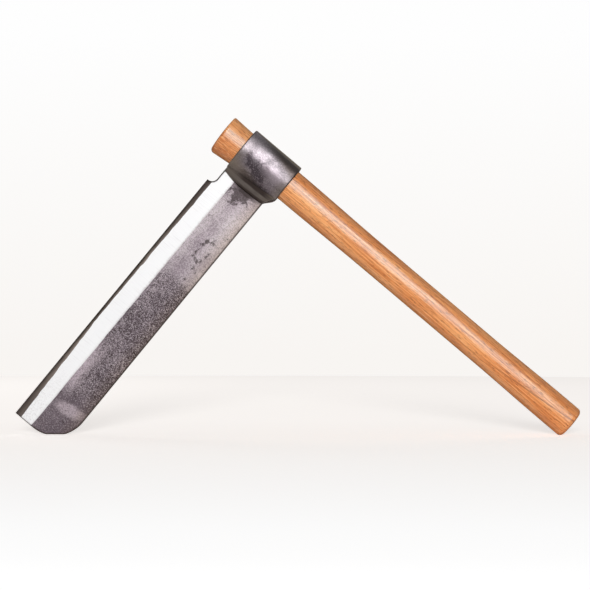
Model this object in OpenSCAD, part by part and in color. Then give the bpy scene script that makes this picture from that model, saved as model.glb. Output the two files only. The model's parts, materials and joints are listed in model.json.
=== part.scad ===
// Froe: a long splitting blade welded under a tapered eye, with a wooden handle that drops
// through the eye and jams on its taper. It stands on the toe of the blade and the tail of the
// handle, like an upturned V.
// Head frame: origin halfway along the eye on the handle's axis, X square to the blade and
// towards the handle's tail, Z up from the toe to the eye, Y through the blade's thickness.

/* [Blade] */
// Length of the cutting edge from heel to toe
edge_length = 300; // [200:5:380]
// Width from the cutting edge to the spine
blade_width = 57.7; // [50:0.1:75]
// Thickness of the blade at its spine
blade_thickness = 8; // [6:0.5:11]
// Distance that the cutting edge stands out past the wide end of the eye
edge_overhang = 7; // [4:0.5:12]
// Distance from the underside of the eye down to the heel of the cutting edge
heel_gap = 20.6; // [16:0.2:40]
// Depth of the notch between the cutting edge and the neck
neck_inset = 7.3; // [5:0.1:12]
// Radius in the corner of the notch
notch_radius = 6.5; // [3:0.5:10]
// Radius of the toe at the spine
toe_radius = 35; // [15:1:40]
// Depth of the flat that the toe stands on
toe_flat_depth = 1.2; // [0.4:0.1:2.5]
// Width of the ground bevel at the heel
bevel_heel = 22.4; // [16:0.2:28]
// Width of the ground bevel at the toe
bevel_toe = 20.2; // [14:0.2:26]
// Slope of the ground bevel on each face
bevel_angle = 7.5; // [5:0.25:9]
// Slope of the narrow honed bevel on each face
hone_angle = 22; // [14:1:35]
// Thickness left along the cutting edge
edge_thickness = 0.5; // [0.2:0.1:1.2]

/* [Eye] */
// Length of the eye along the handle
eye_length = 58.5; // [45:0.5:80]
// Wall of the eye
eye_wall = 4.6; // [3:0.1:7]
// Bore of the eye at its wide end, where the handle goes in
bore_wide = 38.4; // [36:0.1:44]
// Bore of the eye at its narrow end, where the grip comes out
bore_narrow = 33.8; // [33.6:0.1:36]

/* [Weld] */
// Distance that the weld runs down the blade past the underside of the eye
weld_reach = 6.6; // [4:0.2:12]
// Radius of the bowed lower end of the weld
weld_bow = 130; // [60:5:300]
// Height of the weld above the blade at its lower end
weld_step = 2.2; // [1:0.1:4]
// Height of the weld above the blade where it meets the eye
weld_throat = 5.4; // [4.5:0.1:8]
// Drop of the flare that joins the narrow end of the eye to the spine
flare_drop = 8.6; // [5:0.2:14]
// Lip that the flare shows below and inside the narrow end of the eye
flare_lip = 0.6; // [0.4:0.1:1.5]

/* [Handle] */
// Overall length of the handle
handle_length = 450; // [350:5:600]
// Length that stands out of the wide end of the eye
stub_length = 24; // [12:1:40]
// Diameter of the handle at the end that stands out of the eye
stub_diameter = 41.6; // [40:0.1:46]
// Rounding of the rim at that end
stub_round = 3; // [1:0.5:5]
// Diameter of the grip at its waist
waist_diameter = 31.2; // [27:0.1:33]
// Diameter of the grip at its tail
tail_diameter = 33; // [31:0.1:33.2]
// Length over which the grip narrows from the eye to its waist
narrowing_length = 112; // [60:2:130]
// Length over which the grip swells from its waist to its tail
swell_length = 90; // [50:2:110]
// Length of the straight band at the tail
tail_band = 18; // [10:1:30]
// Rounding of the rim at the tail
tail_round = 4.5; // [2:0.5:8]
// Tilt of the handle from square, towards the toe of the blade
handle_rake = 0.8; // [-2:0.1:3]

/* [Fit] */
// Clearance all round between the handle's taper and the eye
fit_clearance = 0.1; // [0.05:0.05:0.3]
// Length of the handle's taper past the narrow end of the eye
taper_lead = 3; // [2:0.5:6]
// Step from the end of the taper down to the grip
taper_step = 0.1; // [0.05:0.05:0.3]
// Distance from the eye's wide end to where the stub starts to flare
flare_gap = 2; // [1.5:0.5:6]

/* [Hidden] */
$fn = 96;
// Steps in each curved stretch of the grip, and in each rounded rim
grip_steps = 12;
rim_steps = 6;
// Cutting blocks and sleeves reach this far past what they cut
past = 20;

// The eye tapers on the blade's side alone, so its bore leans by its own half angle
taper = atan((bore_wide - bore_narrow) / 2 / eye_length);
eye_end = eye_length / 2;
eye_underside = bore_wide - bore_narrow / 2 + eye_wall;
narrow_underside = bore_narrow / 2 + eye_wall + eye_end * sin(handle_rake);

// Places across and along the blade
edge_x = -eye_end - edge_overhang;
spine_x = edge_x + blade_width;
neck_x = edge_x + neck_inset;
heel_z = -eye_underside - heel_gap;
toe_z = heel_z - edge_length;
weld_z = -eye_underside - weld_reach;
flare_x = eye_end - flare_lip;
flare_z = -narrow_underside - flare_drop;
bevel_lean = atan((bevel_heel - bevel_toe) / edge_length);
half_thickness = blade_thickness / 2;

// Places along the handle, measured from the middle of the eye
tail_x = handle_length - stub_length - eye_end;
band_x = tail_x - tail_round - tail_band;
swell_x = band_x - swell_length;
exit_x = eye_end + taper_lead;
exit_bore = bore_narrow / 2 - taper_lead * tan(taper);
exit_radius = exit_bore - fit_clearance - taper_step;

// How the tool stands: the toe's flat and the tail's rim touch the floor together
function turn(p, a) = [p.x * cos(a) + p.y * sin(a), p.y * cos(a) - p.x * sin(a)];
tail_rim = tail_diameter / 2 - tail_round;
toe_centre = [spine_x - toe_radius, toe_z + toe_radius];
tail_low = turn([tail_x - tail_round, -tail_rim], handle_rake);
tail_high = turn([tail_x - tail_round, tail_rim], handle_rake);
span = tail_low - toe_centre;
toe_height = toe_radius - toe_flat_depth;
lean = atan2(span.y, span.x) + asin((toe_height - tail_round) / norm(span));
left_x = turn([edge_x, toe_z], lean).x;
right_x = turn(tail_high, lean).x + tail_round;
floor_z = turn(toe_centre, lean).y - toe_height;

module standing() {
    translate([-(left_x + right_x) / 2, 0, -floor_z])
        rotate([0, lean, 0])
            children();
}

// Stands a flat outline up, with its second axis along Z
module upright(thickness) {
    rotate([90, 0, 0])
        linear_extrude(height = thickness, center = true)
            children();
}

// The corner that lies outside a round of the given radius
module corner(radius) {
    difference() {
        square(radius);
        translate([0, radius])
            circle(radius);
    }
}

// Blade from heel to toe, with a neck that runs up into the eye and flares to its narrow end
module blade_outline() {
    difference() {
        polygon(concat(
            [
                [edge_x, toe_z],
                [edge_x, heel_z],
                [neck_x - notch_radius, heel_z]
            ],
            neck_points(heel_z + notch_radius, toe_z)
        ));
        translate([neck_x - notch_radius, heel_z + notch_radius])
            circle(notch_radius);
        translate([spine_x - toe_radius, toe_z])
            corner(toe_radius);
    }
}

// Round the neck from its edge side, through the eye, to its spine side
function neck_points(edge_side, spine_side) = [
    [neck_x, edge_side],
    [neck_x, 0],
    [flare_x, 0],
    [flare_x, -narrow_underside - flare_lip],
    [spine_x, flare_z],
    [spine_x, spine_side]
];

// Half space beyond a plane that rises from the blade's middle at the given slope, for one face
module face_cut(offset, height, slope, skew) {
    reach = edge_length + blade_width;
    translate([edge_x + offset, height, heel_z])
        rotate([0, skew, 0])
            rotate([0, 0, slope])
                translate([-reach, 0, -1.5 * reach])
                    cube([2 * reach, blade_thickness, 2.5 * reach]);
}

// Ground plate of the blade, with a neck that is still to be cut to the eye
module blade_plate() {
    difference() {
        upright(blade_thickness)
            blade_outline();
        for (side = [0, 1])
            mirror([0, side, 0]) {
                face_cut(bevel_heel, half_thickness, bevel_angle, bevel_lean);
                face_cut(0, edge_thickness / 2, hone_angle, 0);
            }
    }
}

// The eye's axis, from where it crosses the handle's axis towards the wide end
module along_eye() {
    rotate([0, handle_rake, 0])
        translate([exit_x, 0, 0])
            rotate([0, -90 - taper, 0])
                children();
}

// Radius of the bore's cone at a distance along the eye's axis
function bore_at(along) = exit_bore + along * tan(taper);

// Tapered plug through the eye, larger than the bore by the given amount all round
module eye_taper(grow) {
    far_end = taper_lead + eye_length + past;
    along_eye()
        translate([0, 0, -past])
            cylinder(h = past + far_end, r1 = bore_at(-past) + grow, r2 = bore_at(far_end) + grow);
}

// Pad of weld in the corner between the eye and one face of the blade
module weld_pad(side) {
    bow_x = (neck_x + spine_x) / 2;
    difference() {
        intersection() {
            upright(bore_wide)
                intersection() {
                    polygon(neck_points(weld_z - past, weld_z - past));
                    translate([bow_x, weld_z + weld_bow])
                        circle(weld_bow, $fn = 360);
                }
            mirror([0, side, 0])
                translate([-eye_length, 0, 0])
                    rotate([90, 0, 90])
                        linear_extrude(height = 2 * eye_length)
                            weld_section();
        }
        eye_taper(eye_wall);
        blade_plate();
    }
}

// Slope of the weld's face, from its step on the blade up to the eye
module weld_section() {
    polygon([
        [0, weld_z - past],
        [half_thickness + weld_step, weld_z - past],
        [half_thickness + weld_step, weld_z],
        [half_thickness + weld_throat, -narrow_underside],
        [half_thickness + weld_throat, 0],
        [0, 0]
    ]);
}

// Smooth change from one radius to another along a stretch of the grip
function ease(from_x, to_x, from_r, to_r) = [
    for (step = [0 : grip_steps])
        let (part = step / grip_steps)
            [from_r + (to_r - from_r) * (1 - cos(180 * part)) / 2, from_x + (to_x - from_x) * part]
];

// Quarter round at a rim, from the side of the handle to its end
function rim(radius, end, round) = [
    for (step = [0 : rim_steps])
        let (a = 90 * step / rim_steps)
            [radius - round + round * cos(a), end - round + round * sin(a)]
];

module grip() {
    rotate([0, handle_rake, 0])
        rotate([0, 90, 0])
            rotate_extrude()
                polygon(concat(
                    [[0, eye_end], [exit_radius, eye_end]],
                    ease(exit_x, exit_x + narrowing_length, exit_radius, waist_diameter / 2),
                    ease(swell_x, band_x, waist_diameter / 2, tail_diameter / 2),
                    rim(tail_diameter / 2, tail_x, tail_round),
                    [[0, tail_x]]
                ));
}

module tenon() {
    wide_end = taper_lead + eye_length;
    flare_start = wide_end + flare_gap;
    along_eye()
        rotate_extrude()
            polygon(concat(
                [
                    [0, 0],
                    [bore_at(0) - fit_clearance, 0],
                    [bore_at(flare_start) - fit_clearance, flare_start]
                ],
                rim(stub_diameter / 2, wide_end + stub_length, stub_round),
                [[0, wide_end + stub_length]]
            ));
}

module blade() {
    color("#857f86")
        difference() {
            standing()
                difference() {
                    blade_plate();
                    eye_taper(eye_wall);
                }
            translate([left_x - right_x, -blade_thickness, -past])
                cube([2 * (right_x - left_x), 2 * blade_thickness, past]);
        }
}

module eye() {
    color("#4d494c")
        standing()
            difference() {
                intersection() {
                    eye_taper(eye_wall);
                    cube([eye_length, 4 * bore_wide, 4 * bore_wide], center = true);
                }
                eye_taper(0);
            }
}

module weld_front() {
    color("#3b3836")
        standing()
            weld_pad(1);
}

module weld_back() {
    color("#3b3836")
        standing()
            weld_pad(0);
}

module handle() {
    color("#bf7f48")
        standing() {
            grip();
            tenon();
        }
}

blade();
eye();
weld_front();
weld_back();
handle();
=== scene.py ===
# Froe: forged blade, tapered eye, dressed welds and oiled handle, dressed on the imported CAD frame.
import json
import math
from functools import partial
from types import SimpleNamespace

import bmesh
import bpy
import numpy as np
from bpy.props import FloatProperty, FloatVectorProperty, IntProperty, PointerProperty
from mathutils import Matrix, Vector, noise


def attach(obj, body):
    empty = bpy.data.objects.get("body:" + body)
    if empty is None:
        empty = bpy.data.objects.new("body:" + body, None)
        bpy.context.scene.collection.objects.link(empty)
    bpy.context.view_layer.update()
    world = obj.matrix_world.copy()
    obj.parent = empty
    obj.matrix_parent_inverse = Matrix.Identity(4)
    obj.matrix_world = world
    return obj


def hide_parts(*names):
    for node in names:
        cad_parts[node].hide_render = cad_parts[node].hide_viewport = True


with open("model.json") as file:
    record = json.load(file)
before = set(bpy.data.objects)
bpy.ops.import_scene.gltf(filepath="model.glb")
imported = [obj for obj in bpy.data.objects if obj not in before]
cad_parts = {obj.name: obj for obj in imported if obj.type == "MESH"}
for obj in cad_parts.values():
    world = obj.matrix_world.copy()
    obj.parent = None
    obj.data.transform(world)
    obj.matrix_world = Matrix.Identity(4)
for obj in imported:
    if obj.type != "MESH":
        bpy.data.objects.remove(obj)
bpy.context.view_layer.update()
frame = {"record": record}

bl_info = {
    "name": "Froe",
    "version": (1, 0, 0),
    "blender": (4, 5, 0),
    "location": "3D View > Sidebar > Froe",
    "description": "Builds a splitting froe piece by piece on its CAD frame",
    "category": "Object",
}

# Columns across the blade, as shares of the honed strip, the bevel and the flat
HONE_COLUMNS = np.array([0, 0.12, 0.3, 0.55, 0.8, 1])
BEVEL_COLUMNS = np.linspace(0, 1, 17)[1:]
FLAT_COLUMNS = np.linspace(0, 1, 27)[1:]
HONE_LINE = len(HONE_COLUMNS) - 1
BEVEL_LINE = HONE_LINE + len(BEVEL_COLUMNS)
# Steps in from the blade's outline and up through its heel, close together where the surface bends
RIM_STEPS = np.array([0, 0.06, 0.16, 0.3, 0.5, 0.8, 1.3, 2.1, 3.2]) / 1000
HEEL_STEPS = np.array([
    -0.9, -0.5, -0.2, -0.06, -0.01, 0.005, 0.08, 0.25, 0.6, 1.1, 1.7, 2.5, 3.4, 4.4, 5.4, 6.5]) / 1000
TOE_DEPTH = 0.060  # How far up from the toe the rows follow its outline
EYE_SIDES = 128
FLOOR_SIDES = 160
END_SHARE = 0.05  # Share of the handle's rings that closes each end
SMOOTH = {"interpolation_type": "SMOOTHSTEP"}


def linear(code):
    """Linear colour of an sRGB hex value."""
    parts = [int(code[i:i + 2], 16) / 255 for i in (1, 3, 5)]
    return [c / 12.92 if c <= 0.04045 else ((c + 0.055) / 1.055) ** 2.4 for c in parts]


def length(name, millimetres, description):
    """A length that a user may change, given in millimetres and kept in metres."""
    return FloatProperty(
        name=name, description=description, default=millimetres / 1000, unit="LENGTH", precision=5)


def slope(name, degrees, description):
    """An angle that a user may change, given in degrees."""
    return FloatProperty(
        name=name, description=description, default=math.radians(degrees), subtype="ANGLE")


def tint(name, code, description):
    """A colour that a user may change, given as an sRGB hex value."""
    return FloatVectorProperty(
        name=name, description=description, default=linear(code), subtype="COLOR", min=0, max=1)


def share(name, value, description):
    """A share from 0 to 1 that a user may change."""
    return FloatProperty(
        name=name, description=description, default=value, subtype="FACTOR", min=0, max=1)


def power(name, watts, description):
    """The power of a lamp that a user may change, in watts."""
    return FloatProperty(name=name, description=description, default=watts, unit="POWER", min=0)


class FroeBladeSizes(bpy.types.PropertyGroup):
    """Sizes of the blade"""
    edge: length("Edge", 300, "Length of the cutting edge from heel to toe")
    width: length("Width", 57.7, "Width from the cutting edge to the spine")
    thickness: length("Thickness", 8, "Thickness at the spine")
    overhang: length("Overhang", 7, "How far the edge stands out past the eye")
    heel_gap: length("Heel gap", 20.6, "From the underside of the eye down to the heel")
    neck_inset: length("Neck inset", 7.3, "Depth of the notch at the heel")
    notch: length("Notch", 6.5, "Radius in the corner of the notch")
    toe_round: length("Toe round", 35, "Radius of the toe at the spine")
    bevel_heel: length("Bevel at heel", 22.4, "Width of the ground bevel at the heel")
    bevel_toe: length("Bevel at toe", 20.2, "Width of the ground bevel at the toe")
    bevel_slope: slope("Bevel slope", 7.5, "Slope of the ground bevel on each face")
    edge_thickness: length("Edge thickness", 0.5, "Thickness left along the cutting edge")
    hone_heel: length("Hone at heel", 5.4, "Width of the honed strip at the heel")
    hone_middle: length("Hone in middle", 3.2, "Width of the honed strip at its narrowest")
    hone_toe: length("Hone at toe", 7.0, "Width of the honed strip at the toe")
    ease: length("Ease", 0.8, "Rounding of the outline where face meets side")
    swell: length("Swell", 0.07, "Height of the long hammered swells in the faces")
    ripple: length("Ripple", 0.035, "Height of the short ripples in the faces")


class FroeEyeSizes(bpy.types.PropertyGroup):
    """Sizes of the eye"""
    length: length("Length", 58.5, "Length along the handle")
    wall: length("Wall", 4.6, "Wall of the tube")
    bore_wide: length("Wide bore", 38.4, "Bore where the handle goes in")
    bore_narrow: length("Narrow bore", 33.8, "Bore where the grip comes out")
    lead: length("Lead", 3, "How far the taper runs on past the narrow end")
    outer_ease: length("Outer ease", 1.1, "Rounding of the outer rims")
    inner_ease: length("Inner ease", 0.9, "Rounding of the bore's rims")
    swell: length("Swell", 0.05, "Height of the hammered swells round the outside")


class FroeWeldSizes(bpy.types.PropertyGroup):
    """Sizes of the dressed welds"""
    reach: length("Reach", 6.6, "How far the weld runs down the blade")
    bow: length("Bow", 130, "Radius of the bowed lower end")
    step: length("Step", 2.2, "Height above the blade at the lower end")
    throat: length("Throat", 5.4, "Height above the blade at the eye")
    flare_drop: length("Flare drop", 8.6, "Drop of the flare from the eye to the spine")
    flare_lip: length("Flare lip", 0.6, "Lip of the flare inside the eye's narrow end")
    roll: length("Roll", 1.7, "Rounding of the lower step and the ends")
    blend: length("Blend", 2.6, "How far the weld is drawn out over the eye towards the edge")
    ripple: length("Ripple", 0.16, "Height of the ripples left by dressing")


class FroeHandleSizes(bpy.types.PropertyGroup):
    """Sizes of the handle"""
    length: length("Length", 450, "Overall length")
    stub: length("Stub", 24, "Length that stands out of the eye's wide end")
    stub_diameter: length("Stub diameter", 41.6, "Diameter at the stub's end")
    stub_round: length("Stub round", 3, "Rounding of the stub's rim")
    waist: length("Waist", 31.2, "Diameter of the grip at its waist")
    tail: length("Tail", 33, "Diameter of the grip at its tail")
    narrowing: length("Narrowing", 112, "Length over which the grip narrows to its waist")
    swelling: length("Swelling", 90, "Length over which the grip swells to its tail")
    tail_band: length("Tail band", 18, "Length of the straight band at the tail")
    tail_round: length("Tail round", 4.5, "Rounding of the tail's rim")
    crown: length("Crown", 0.9, "Height of the crowned ends")
    clearance: length("Clearance", 0.1, "Clearance all round in the eye")
    flare_gap: length("Flare gap", 2, "From the eye's wide end to the start of the stub's flare")
    waver: length("Waver", 0.12, "Height of the waves left by hand shaping")
    rake: slope("Rake", 0.8, "Tilt of the handle from square, towards the toe")
    rings: IntProperty(name="Rings", description="Rings along the handle", default=300, min=50)
    sides: IntProperty(name="Sides", description="Sides round the handle", default=96, min=24)


class FroeFinish(bpy.types.PropertyGroup):
    """Colours of the steels and the wood"""
    scale_light: tint("Light scale", "#b2a9ac", "Thin lilac scale near the eye")
    scale_mid: tint("Middle scale", "#8f848b", "Shaded scale")
    scale_dark: tint("Dark scale", "#635960", "Thick scale towards the toe")
    # On the eye it also lays pale flecks and a patch that are partly painted glints and a painted highlight
    scale_rubbed: tint("Rubbed scale", "#a4989f", "Scale rubbed smooth and pale")
    scale_pit: tint("Pit", "#37302f", "Pits and flakes of black scale")
    scale_warm: tint("Warm scale", "#f6f0e3", "Straw tint along the spine")
    # Black scale and painted shade along the outlines and at the eye's rims; on the eye's top it is painted
    # shade
    rim: tint("Rim", "#3a322d", "Black scale left on the rims")
    ground: tint("Ground steel", "#f4f4f5", "Bright ground bevel")
    ground_dull: tint("Dull ground steel", "#dedbdd", "Grinding marks in the bevel")
    honed: tint("Honed steel", "#a3958b", "Oiled, honed strip inside the edge")
    # Near black at the very edge: a painted dark reflection of the steep strip, broken by stains
    honed_dark: tint("Dark honed steel", "#3f3731", "Stain along the very edge")
    honed_ends: tint("Honed ends", "#4b4240", "Honed strip at the heel and the toe")
    # Paler than the eye's scale on its upper part: rubbed-thin scale and a painted highlight
    eye_bright: tint("Worn scale", "#7a7478", "Scale on the eye that is rubbed thin")
    eye_scale: tint("Eye scale", "#726a6f", "Scale on the eye")
    eye_dark: tint("Dark eye scale", "#3d363b", "Thick scale on the eye")
    eye_olive: tint("Oiled scale", "#756b60", "Oiled scale at the ends of the eye")
    weld: tint("Dressed weld", "#625b57", "Dressed face of the weld")
    # Black scale and painted shade in the creases under the eye and along the welds' lower step
    weld_dark: tint("Weld crease", "#3a322f", "Black scale left in the creases")
    wood_pale: tint("Pale wood", "#e5a064", "Late wood")
    wood_mid: tint("Wood", "#d78749", "Body of the wood")
    wood_dark: tint("Dark wood", "#a35220", "Ring lines")
    wood_pore: tint("Pores", "#6b351a", "Open pores and flecks")
    wood_ray: tint("Rays", "#f4bf8a", "Pale flecks of the rays")


class FroeStage(bpy.types.PropertyGroup):
    """Floor, wall, lamps and camera"""
    camera_distance: length("Camera distance", 3000, "Distance of the camera from the blade")
    camera_height: length("Camera height", 138.5, "Height of the camera over the floor")
    camera_side: length("Camera side", -2.9, "Sideways place of the camera")
    camera_roll: slope("Camera roll", 0.1, "Roll of the camera, which lowers the right of the picture")
    focal_length: FloatProperty(
        name="Lens", description="Focal length in millimetres", default=184.53, unit="CAMERA")
    floor_radius: length("Floor radius", 2190, "Radius of the round floor")
    floor: tint("Floor", "#f6f2ef", "Pale paper floor")
    floor_near: tint("Near floor", "#fefefe", "Floor towards the camera")
    wall: tint("Wall", "#f8f5f2", "Wall at the height of the floor's far edge")
    wall_high: tint("High wall", "#fefefe", "Wall higher up")
    ceiling: tint("Ceiling", "#bbbab9", "Dim ceiling of the studio")
    glow: share("Floor glow", 0.71, "Lift of the far floor to white")
    glow_near: share("Near floor glow", 0.51, "Lift of the near floor to white")
    fill: share("Fill", 0.19, "Share of the room's light that fills shadows")
    front: power("Front", 300, "Watts of the softbox by the camera")
    strip: power("Strip", 42, "Watts of each strip softbox, for the steel")
    grip: power("Grip", 138, "Watts of the softbox that shines on the wood")
    grip_tint: tint("Grip tint", "#b2eeff", "Cool daylight of the softbox that shines on the wood")
    rear: power("Rear", 60, "Watts of the softbox on the wood's far side")
    back: power("Back", 6, "Watts of the softbox behind")


def stance(scene):
    """Where the head and the handle stand in the CAD frame, from its tail mount."""
    handle, eye = scene.froe_handle, scene.froe_eye
    tail = next(m for m in frame["record"]["mounts"] if m["name"] == "handle_tail")
    along = Vector(tail["axis"]).normalized()
    band = handle.length - handle.stub - eye.length / 2 - handle.tail_round - handle.tail_band / 2
    place = Matrix.Translation(Vector(tail["pos_m"]) - along * band)
    dip = math.atan2(-along.z, along.x)
    head = place @ Matrix.Rotation(dip - handle.rake, 4, "Y")
    return head, place @ Matrix.Rotation(dip, 4, "Y")


def head_places(scene):
    """Places on the head in its own frame: X from edge to spine, Z up from toe to eye."""
    blade, eye, weld, handle = scene.froe_blade, scene.froe_eye, scene.froe_weld, scene.froe_handle
    p = SimpleNamespace()
    p.head, p.grip = stance(scene)
    p.taper = math.atan((eye.bore_wide - eye.bore_narrow) / 2 / eye.length)
    p.end = eye.length / 2
    p.underside = eye.bore_wide - eye.bore_narrow / 2 + eye.wall
    p.narrow_underside = eye.bore_narrow / 2 + eye.wall + p.end * math.sin(handle.rake)
    p.edge = -p.end - blade.overhang
    p.spine = p.edge + blade.width
    p.neck = p.edge + blade.neck_inset
    p.heel = -p.underside - blade.heel_gap
    p.toe = p.heel - blade.edge
    p.weld = -p.underside - weld.reach
    p.middle = (p.neck + p.spine) / 2
    p.bow = weld.bow
    p.flare_x = p.end - weld.flare_lip
    p.flare_z = -p.narrow_underside - weld.flare_drop
    p.flare_top = -p.narrow_underside - weld.flare_lip
    p.exit = p.end + eye.lead
    p.exit_bore = eye.bore_narrow / 2 - eye.lead * math.tan(p.taper)
    p.eye_tilt = p.taper - handle.rake
    return p


def eye_point(p, across, grow, turn):
    """Point of the eye at a place along X, a height over the bore and a turn from straight up."""
    up = np.cos(turn)
    radial = np.array([-math.sin(p.eye_tilt), 0, math.cos(p.eye_tilt)])
    rake = p.taper - p.eye_tilt
    pivot = np.array([p.exit * math.cos(rake), 0, -p.exit * math.sin(rake)])
    axis = np.array([-math.cos(p.eye_tilt), 0, -math.sin(p.eye_tilt)])
    rise = math.tan(p.taper)
    along = across - pivot[0] - (p.exit_bore + grow) * up * radial[0]
    along = along / (axis[0] + rise * up * radial[0])
    radius = p.exit_bore + grow + along * rise
    reach = up[..., None] * radial + np.sin(turn)[..., None] * np.array([0, 1.0, 0])
    return pivot + along[..., None] * axis + radius[..., None] * reach


def eye_underside(p, across, side, grow):
    """Height of the eye's lower surface at a place along X and Y."""
    along = (p.exit - across) / math.cos(p.eye_tilt)
    middle = -p.exit * math.sin(p.taper - p.eye_tilt) - along * math.sin(p.eye_tilt)
    radius = p.exit_bore + grow + along * math.tan(p.taper)
    return middle - np.sqrt(np.maximum(radius ** 2 - side ** 2, 0)) / math.cos(p.eye_tilt)


def weld_bottom(p, across):
    """Height of the welds' bowed lower end at a place along X."""
    return p.weld + p.bow - np.sqrt(p.bow ** 2 - (across - p.middle) ** 2)


def spine_line(p, height):
    """Place of the spine along X at a height, with its flare up to the eye's narrow end."""
    flare = np.clip((height - p.flare_z) / (p.flare_top - p.flare_z), 0, 1)
    return p.spine + flare * (p.flare_x - p.spine)


def bevel_line(p, blade, height):
    """Place along X, at a height, where the ground bevel meets the flat."""
    lost = (p.heel - height) * (blade.bevel_heel - blade.bevel_toe) / blade.edge
    return p.edge + blade.bevel_heel - lost


def waver(x, y, z, size, seed):
    """Smooth noise from -1 to 1, with swells of about the given size."""
    shift = Vector((7.31, 3.17, 5.93)) * seed
    points = np.stack(np.broadcast_arrays(x, y, z), -1) / size
    flat = [noise.noise(Vector(q) + shift) for q in points.reshape(-1, 3)]
    return np.array(flat).reshape(points.shape[:-1])


def rounding(depth, radius):
    """How far a surface drops at a depth inside a rim that is rounded to a radius."""
    left = radius - np.clip(depth, 0, radius)
    return radius - np.sqrt(np.maximum(radius ** 2 - left ** 2, 0))


def ramp(value, low, high):
    """Smooth step from 0 at low to 1 at high."""
    part = np.clip((value - low) / (high - low), 0, 1)
    return part * part * (3 - 2 * part)


def new_object(name, data):
    """Links new data to the scene as an object."""
    made = bpy.data.objects.new(name, data)
    bpy.context.scene.collection.objects.link(made)
    return made


def place_piece(name, mesh, body, node):
    """Links a finished mesh as a piece that rides on a body and stands for a CAD node."""
    piece = new_object(name, mesh)
    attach(piece, body)
    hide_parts(node)


def close_shell(mesh, creases=()):
    """Marks the sharp lines of a closed mesh and turns its faces outwards."""
    shell = bmesh.new()
    shell.from_mesh(mesh)
    shell.verts.ensure_lookup_table()
    for a, b in creases:
        shell.edges.get((shell.verts[a], shell.verts[b])).smooth = False
    bmesh.ops.recalc_face_normals(shell, faces=shell.faces)
    shell.to_mesh(mesh)
    shell.free()


def skin(name, points, faces, materials, marks, zones=None, creases=()):
    """Smooth closed mesh with its materials, its point marks and its sharp lines."""
    mesh = bpy.data.meshes.new(name)
    mesh.from_pydata(points.tolist(), [], faces)
    for material in materials:
        mesh.materials.append(material)
    if zones:
        mesh.polygons.foreach_set("material_index", zones)
    mesh.polygons.foreach_set("use_smooth", [True] * len(faces))
    for mark, values in marks.items():
        mesh.attributes.new(mark, "FLOAT", "POINT").data.foreach_set("value", values)
    close_shell(mesh, creases)
    return mesh


def plate(front, back):
    """Points and faces of a closed plate between two grids, with each face's column."""
    rows, columns = front.shape[:2]
    points = np.concatenate([front.reshape(-1, 3), back.reshape(-1, 3)])
    offset = rows * columns
    faces, column_of = [], []
    for r in range(rows - 1):
        for c in range(columns - 1):
            first = r * columns + c
            quad = [first, first + 1, first + columns + 1, first + columns]
            faces += [quad, [i + offset for i in reversed(quad)]]
            column_of += [c, c]
    rim = [(0, c) for c in range(columns)]
    rim += [(r, columns - 1) for r in range(1, rows)]
    rim += [(rows - 1, c) for c in range(columns - 2, -1, -1)]
    rim += [(r, 0) for r in range(rows - 2, 0, -1)]
    for (r0, c0), (r1, c1) in zip(rim, rim[1:] + rim[:1]):
        a, b = r0 * columns + c0, r1 * columns + c1
        faces.append([b, a, a + offset, b + offset])
        column_of.append(min(c0, c1, columns - 2))
    return points, faces, column_of


def turned(points, matrix):
    """Points carried by a matrix."""
    m = np.array(matrix)
    return points @ m[:3, :3].T + m[:3, 3]


def add_node(tree, kind, inputs=(), operation=None, **settings):
    """Adds a node to a tree with its settings, and sets or links its inputs, by name or in order."""
    node = tree.nodes.new(kind if kind.startswith(("Geometry", "NodeGroup")) else f"ShaderNode{kind}")
    if operation:
        node.operation = operation
    for name, value in settings.items():
        setattr(node, name, value)
    for key, value in inputs.items() if isinstance(inputs, dict) else enumerate(inputs):
        socket = node.inputs[key]
        if isinstance(value, bpy.types.Node):
            value = next(s for s in value.outputs if s.enabled)
        if isinstance(value, bpy.types.NodeSocket):
            tree.links.new(value, socket)
        else:
            socket.default_value = (*value, 1.0) if socket.type == "RGBA" else value
    return node


def empty_tree(block):
    """Clears the tree of a material or a world, and gives the function that adds nodes to it."""
    block.use_nodes = True
    block.node_tree.nodes.clear()
    return partial(add_node, block.node_tree)


def new_material(name, matrix):
    """Empty material, its adder of nodes, and Object coordinates in a piece's own frame, whole and split."""
    material = bpy.data.materials.new(name)
    add = empty_tree(material)
    own = add("Mapping", {
        "Vector": add("TexCoord").outputs["Object"],
        "Location": matrix.translation,
        "Rotation": matrix.to_euler(),
    }, vector_type="TEXTURE")
    return material, add, own, add("SeparateXYZ", (own,)).outputs


def coats(add, body, *layers):
    """Colour of a body under coats of other colours, each laid on by its share."""
    for part, colour in layers:
        body = add("Mix", {0: part, 6: body, 7: colour}, data_type="RGBA")
    return body


def streaks(add, own, sizes, detail=3.0):
    """Noise with swells of the given sizes along X, Y and Z."""
    drawn = add("Mapping", {"Vector": own, "Scale": [1 / size for size in sizes]})
    return add("TexNoise", {"Vector": drawn, "Scale": 1.0, "Detail": detail})


def patch(add, own, place, reach, turn=0.0):
    """1 at a place, falling to 0 at a reach along X, Y and Z, turned about Y."""
    local = add("Mapping", (own, place, (0.0, turn, 0.0), reach), vector_type="TEXTURE")
    return add("TexGradient", (local,), gradient_type="SPHERICAL")


def step(add, value, shift, amount, low, high, least=0.0, most=1.0, **curve):
    """Share that steps up from low to high along a value, shifted first by so much of another."""
    moved = add("Math", (shift, amount, value), "MULTIPLY_ADD")
    return add("MapRange", (moved, low, high, least, most), **curve)


def apart(add, value, middle):
    """How far a value lies from a middle, either way."""
    return add("Math", (add("Math", (value, -middle), "ADD"),), "ABSOLUTE")


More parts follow.
